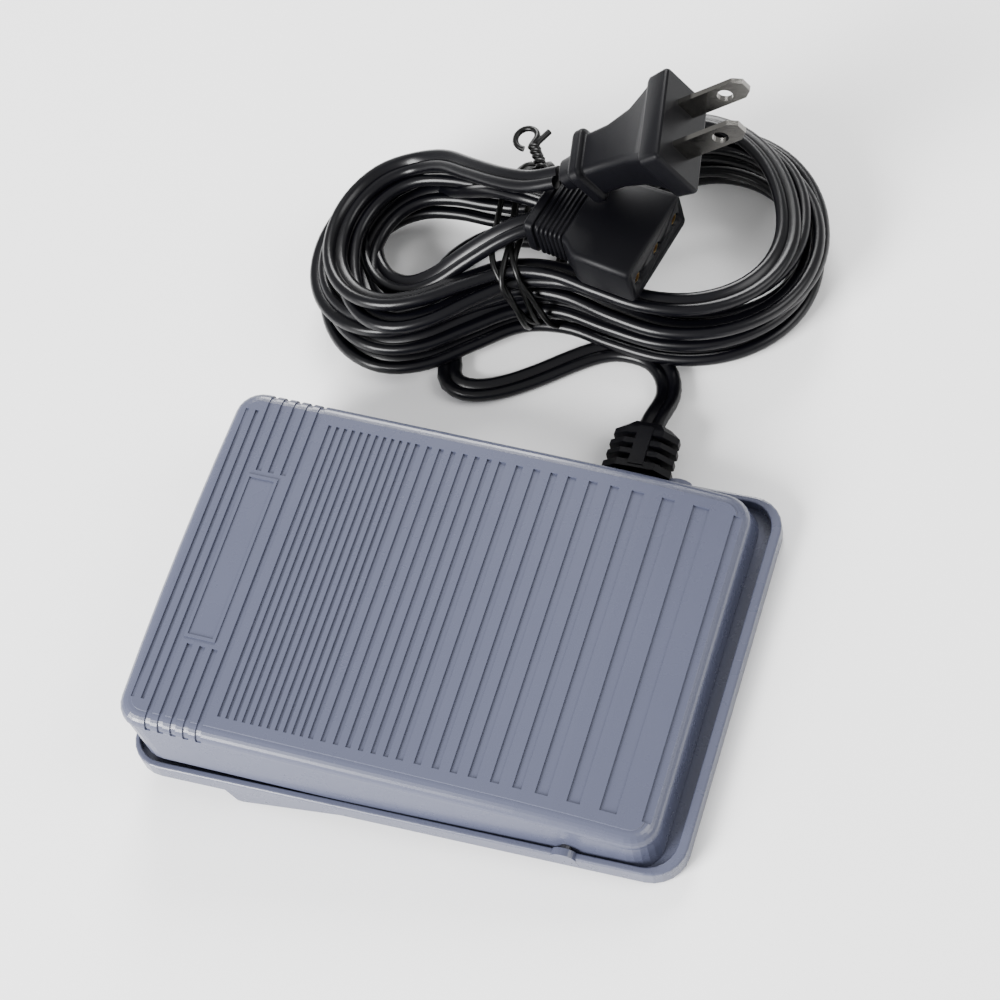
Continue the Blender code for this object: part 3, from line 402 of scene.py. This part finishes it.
def waist(u):
    """How far the tie pulls the turns together at a place along the hank."""
    return 1 - WAIST_PINCH * math.exp(-((u - TIE_ALONG) / WAIST_LENGTH) ** 2)


def hank_point(turn):
    """A place on the winding: whole turns fall on the left end, going round by the far side."""
    angle = math.pi - 2 * math.pi * turn
    along = math.cos(angle)
    reach = between_turns(RIGHT_REACH if along > 0 else LEFT_REACH, turn)
    u = reach * along
    side = math.sin(angle) * math.sqrt(1 + along * along)
    share = 0.5 + 0.5 * math.sin(math.pi / 2 * max(-1.0, min(1.0, u / SIDE_BLEND)))
    left = between_turns(LEFT_FAR if side > 0 else LEFT_NEAR, turn)
    right = between_turns(RIGHT_FAR if side > 0 else RIGHT_NEAR, turn)
    v = (left * (1 - share) + right * share) * side * waist(u)
    height = LAYER_PITCH * turn
    droop = min(END_DROOP, height * DROOP_SHARE) * (u / DROOP_REACH) ** 2
    return hank_to_world(u, v, LOWEST_LAYER + height - droop)


def hank_turns(first, last):
    """Points of the winding from one turn count to another."""
    count = round((last - first) * POINTS_PER_TURN)
    return [hank_point(first + (last - first) * i / count) for i in range(count + 1)]


def hank_route(points):
    """Listed points of the hank's frame, in the world."""
    return [hank_to_world(*p) for p in points]


ENTRY = hank_route(((-33.6, -23.0, 2.0), (-36.3, -14.0, 2.0), (-37.6, -5.0, 2.0),
                    (-35.8, 3.5, 2.1), (-29.6, 9.6, 2.3)))
TO_CONNECTOR = hank_route(((-34.5, 20.6, 15.0), (-25.5, 14.0, 22.6), (-16.5, 7.6, 30.0),
                           (-9.5, 3.4, 33.0), (-4.0, 1.0, 33.2)))
FROM_CONNECTOR = hank_route(((-4.0, -6.2, 33.0), (-9.0, -7.2, 32.6), (-16.0, -9.0, 30.4),
                             (-25.0, -11.5, 26.0), (-34.0, -13.2, 20.5), (-42.5, -12.0, 16.0),
                             (-50.0, -6.5, 13.0), (-54.6, 2.5, 11.8), (-54.0, 11.0, 11.4),
                             (-48.5, 18.8, 11.3)))
TO_PLUG = hank_route(((-33.5, 19.6, 27.0), (-24.5, 12.6, 31.8), (-14.8, 5.4, 36.6),
                      (-6.4, 1.0, 40.0), (2.0, -0.9, 43.6)))

FIRST_LEAD = smooth_route([*LEAD_ROUTE, *ENTRY, *hank_turns(ENTRY_TURN, TO_CONNECTOR_TURN),
                           *TO_CONNECTOR], LEAD_SPACING)
SECOND_LEAD = smooth_route([*FROM_CONNECTOR, *hank_turns(FROM_CONNECTOR_TURN, TO_PLUG_TURN),
                            *TO_PLUG], LEAD_SPACING)


def rolling(turns, lean, flat_share=0.0):
    """A slow change of the lead's roll along it, flat at both ends and along its start."""
    def roll(share):
        ease = max(0.0, min(1.0, (share - flat_share) * 6, (1 - share) * 12))
        return ease * lean * math.sin(2 * math.pi * turns * share)
    return roll


def make_lead(name, points, roll):
    """One length of the flat lead."""
    made = sweep(name, points, cord_profile(), roll, CORD_PVC)
    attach(made, "tray")
    return made


FIRST_CORD = make_lead("lead_to_connector", FIRST_LEAD, rolling(4.5, 0.6, 0.3))
SECOND_CORD = make_lead("lead_to_plug", SECOND_LEAD, rolling(3.5, 0.6))


# ---------------------------------------------------------------- plugs and tie
def rounded_section(a, half_b, half_n, radius, steps=5):
    """A rounded rectangle across a plug: place along it, half breadth, half thickness, corner."""
    points = []
    for centre_b, centre_n, start in ((1, 1, 0), (-1, 1, 1), (-1, -1, 2), (1, -1, 3)):
        for i in range(steps + 1):
            turn = math.pi / 2 * (start + i / steps)
            points.append((a, centre_b * (half_b - radius) + radius * math.cos(turn),
                           centre_n * (half_n - radius) + radius * math.sin(turn)))
    return points


def loft(name, sections, place, material, smooth_angle=32):
    """A moulded body through rounded sections, softened at its edges."""
    shape = bmesh.new()
    skin(shape, [rounded_section(*s) for s in sections])
    made = to_mesh_object(name, shape, material, smooth_angle)
    made.data.transform(place)
    soften = made.modifiers.new("soften", "BEVEL")
    soften.width = PLUG_EDGE * MM
    soften.segments = 2
    soften.limit_method = "ANGLE"
    soften.angle_limit = math.radians(35)
    return made


def ribs(first, pitch, count, half_b, half_n, radius, depth):
    """Sections that step in and out as grip ribs across a plug."""
    made = []
    for i in range(count):
        a = first + pitch * i
        made.append((a, half_b, half_n, radius))
        made.append((a + pitch * 0.5, half_b, half_n, radius))
        made.append((a + pitch * 0.6, half_b - depth, half_n - depth, radius))
        made.append((a + pitch * 0.9, half_b - depth, half_n - depth, radius))
    return made


def connector_place():
    """The machine connector's frame: x out of its socket face."""
    return (Matrix.Translation(Vector(CONNECTOR_CENTRE) * MM)
            @ Matrix.Rotation(CONNECTOR_TURN, 4, "Z"))


def plug_place():
    """The wall plug's frame: x out along the blades, y from blade to blade."""
    return (Matrix.Translation(Vector(PLUG_FACE_CENTRE) * MM)
            @ Matrix.Rotation(PLUG_TURN, 4, "Z") @ Matrix.Rotation(-PLUG_PITCH_UP, 4, "Y"))


def drill(target, name, place, middle, radius, depth):
    """Bore a round hole along a plug's own x axis, about a middle point in the plug's frame."""
    shape = bmesh.new()
    matrix = Matrix.Translation(middle) @ Matrix.Rotation(math.pi / 2, 4, "Y")
    bmesh.ops.create_cone(shape, cap_ends=True, segments=28, radius1=radius, radius2=radius,
                          depth=depth, matrix=matrix)
    tool = to_mesh_object(name, shape, PLUG_PVC)
    tool.data.transform(place)
    boolean = target.modifiers.new(name, "BOOLEAN")
    boolean.operation = "DIFFERENCE"
    boolean.object = tool
    boolean.solver = "EXACT"
    return tool


def apply_modifiers(target, tools=()):
    """Fix a piece's modifiers into its mesh, then drop the tools they used."""
    bpy.context.view_layer.update()
    evaluated = target.evaluated_get(bpy.context.evaluated_depsgraph_get())
    mesh = bpy.data.meshes.new_from_object(evaluated)
    target.modifiers.clear()
    target.data = mesh
    for tool in tools:
        bpy.data.objects.remove(tool, do_unlink=True)


def make_connector():
    """Flat connector: tail collar, ribbed grip, curved shoulders and three sockets."""
    place = connector_place()
    sections = [(-16.5, 8.9, 5.1, 1.6), (-15.9, 9.3, 5.6, 1.8), (-13.9, 9.3, 5.6, 1.8),
                (-13.6, 8.4, 4.9, 1.6), (-12.9, 8.4, 4.9, 1.6)]
    sections += ribs(-12.6, 1.3, 6, 9.3, 5.6, 1.8, 0.45)
    sections += [(-4.6, 9.7, 5.8, 1.8), (-2.6, 10.9, 5.9, 1.8), (-0.6, 12.6, 6.0, 1.8),
                 (1.2, 13.4, 6.0, 1.8), (15.6, 13.7, 6.0, 1.8), (16.5, 13.2, 5.5, 1.4)]
    body = loft("connector_body", sections, place, PLUG_PVC)
    tools = [drill(body, f"socket_{i}", place, (SOCKET_MIDDLE, SOCKET_PITCH * (i - 1), 0),
                   SOCKET_RADIUS, SOCKET_DEPTH) for i in range(3)]
    apply_modifiers(body, tools)
    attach(body, "tray")
    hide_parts("machine_connector")
    return body


def make_plug():
    """Wall plug: neck, collar, waisted grip and square front flange."""
    place = plug_place()
    sections = [(-36.0, 3.7, 3.0, 2.4), (-33.0, 4.0, 3.5, 2.8), (-30.4, 4.6, 4.2, 3.2),
                (-30.0, 7.2, 6.2, 2.4), (-29.4, 7.8, 6.7, 2.4), (-27.2, 7.9, 6.8, 2.4),
                (-26.6, 7.3, 6.2, 2.2), (-26.3, 6.5, 5.4, 2.0), (-20.0, 6.9, 5.4, 2.0),
                (-13.0, 8.4, 6.2, 2.0), (-8.6, 10.6, 7.2, 1.9), (-6.5, 11.7, 7.7, 1.8),
                (-6.1, 13.0, 8.1, 1.7), (-5.5, 13.4, 8.4, 1.6), (-0.8, 13.9, 8.6, 1.4),
                (0.0, 13.4, 8.1, 1.1)]
    body = loft("plug_body", sections, place, PLUG_PVC)
    apply_modifiers(body)
    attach(body, "tray")
    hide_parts("wall_plug")
    return body


def squared(value):
    """A sine or cosine pushed outwards, so that a circle becomes a rounded square."""
    return math.copysign(abs(value) ** 0.55, value)


def tie_points():
    """Slanting wraps of the tie round the hank's waist, each a little apart from the last."""
    points = []
    count = 30 * TIE_WRAPS
    for i in range(count + 1):
        share = i / count
        turn = 2 * math.pi * TIE_WRAPS * share
        loose = 1 + 0.05 * math.sin(2.3 * turn)
        v = loose * TIE_HALF_WIDTH * squared(math.cos(turn))
        z = TIE_HEIGHT + TIE_HALF_HEIGHT * squared(math.sin(turn))
        u = TIE_ALONG - 2.0 + 8.0 * share + 2.5 * math.cos(turn) - 4.0 * math.sin(turn)
        u += 1.3 * math.sin(2.6 * turn)
        points.append(hank_to_world(u, v, z))
    return points


def tie_end_points(strand):
    """One of the tie's two twisted ends; the first goes on round a small loop."""
    start = Vector(TIE_END_START)
    end = Vector(TIE_END_FINISH)
    height = TIE_END_FINISH[2]
    points = []
    for i in range(24):
        middle = start.lerp(end, i / 23)
        turn = 2 * math.pi * 2.5 * i / 23 + math.pi * strand
        points.append(hank_to_world(middle.x + TIE_RADIUS * math.cos(turn),
                                    middle.y + 0.3 * math.cos(turn),
                                    middle.z + TIE_RADIUS * math.sin(turn)))
    if strand == 0:
        for i in range(1, 15):
            turn = -0.9 + 2 * math.pi * 0.86 * i / 14
            points.append(hank_to_world(TIE_LOOP_CENTRE[0] + TIE_LOOP_RADIUS * math.cos(turn),
                                        TIE_LOOP_CENTRE[1] + TIE_LOOP_RADIUS * math.sin(turn),
                                        height - 0.12 * i))
    else:
        points += [hank_to_world(-9.0 + 0.9 * i, 21.6 + 1.1 * i, height) for i in range(1, 5)]
    return points


def tie_wire(name, points, spacing):
    """One round wire of the tie along a route."""
    circle = [(TIE_RADIUS * math.cos(2 * math.pi * i / 10),
               TIE_RADIUS * math.sin(2 * math.pi * i / 10)) for i in range(10)]
    return sweep(name, smooth_route(points, spacing), circle, lambda share: 0.0, TIE_COAT)


def make_tie():
    """The coated twist tie, with its twisted ends."""
    wraps = tie_wire("tie_wraps", tie_points(), 2.0)
    ends = [tie_wire(f"tie_end_{strand + 1}", tie_end_points(strand), 0.9) for strand in range(2)]
    pieces = [wraps, *ends]
    for piece in pieces:
        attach(piece, "tray")
    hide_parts("twist_tie")
    return pieces


def make_spring(name, replaced):
    """A return spring: a steel copy of its CAD node, put on the tray's body in place of it."""
    node = bpy.data.objects[replaced]
    mesh = node.data.copy()
    mesh.transform(node.matrix_world)
    mesh.materials.clear()
    mesh.materials.append(SLOT_MATERIALS["steel"])
    made = bpy.data.objects.new(name, mesh)
    bpy.context.scene.collection.objects.link(made)
    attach(made, "tray")
    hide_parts(replaced)
    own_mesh(made)


make_spring("spring_near", "return_spring_near")
make_spring("spring_far", "return_spring_far")
CONNECTOR = make_connector()
PLUG = make_plug()
TIE = make_tie()
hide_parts("lead_tube", "lead_hank")


finish_cad_nodes()


# ---------------------------------------------------------------- stage and light
def add_floor():
    """A plain pale floor."""
    shape = bmesh.new()
    bmesh.ops.create_grid(shape, x_segments=1, y_segments=1, size=4000)
    paper = Shader("floor_paper", (0.95, 0.95, 0.95), 0.9)
    paper.tint(paper.noise(6.0), (0.94, 0.94, 0.94), (0.96, 0.96, 0.96))
    floor = to_mesh_object("floor", shape, paper.material)
    floor.location.z = -0.0001


# Name, place and target in metres, side in metres, power in watts
LIGHTS = (
    ("front_key", (-0.7, -1.05, 0.7), (0, 0.02, 0.01), 0.7, 70),
    ("right_fill", (1.0, 0.2, 0.9), (0, 0.04, 0.01), 0.7, 10),
    ("back_rim", (-0.3, 1.2, 0.8), (0, 0.05, 0.01), 0.6, 26),
)
WORLD_STRENGTH = 0.75


def add_light(name, place, target, size, power):
    """A soft square lamp turned towards a point."""
    data = bpy.data.lights.new(name, "AREA")
    data.size = size
    data.energy = power
    lamp = bpy.data.objects.new(name, data)
    lamp.location = place
    lamp.rotation_euler = (Vector(target) - Vector(place)).to_track_quat("-Z", "Y").to_euler()
    bpy.context.scene.collection.objects.link(lamp)


def add_world():
    """An even pale surround."""
    world = bpy.data.worlds.new("studio")
    world.use_nodes = True
    background = world.node_tree.nodes["Background"]
    background.inputs["Color"].default_value = (1, 1, 1, 1)
    background.inputs["Strength"].default_value = WORLD_STRENGTH
    bpy.context.scene.world = world


add_floor()
add_world()
for light in LIGHTS:
    add_light(*light)
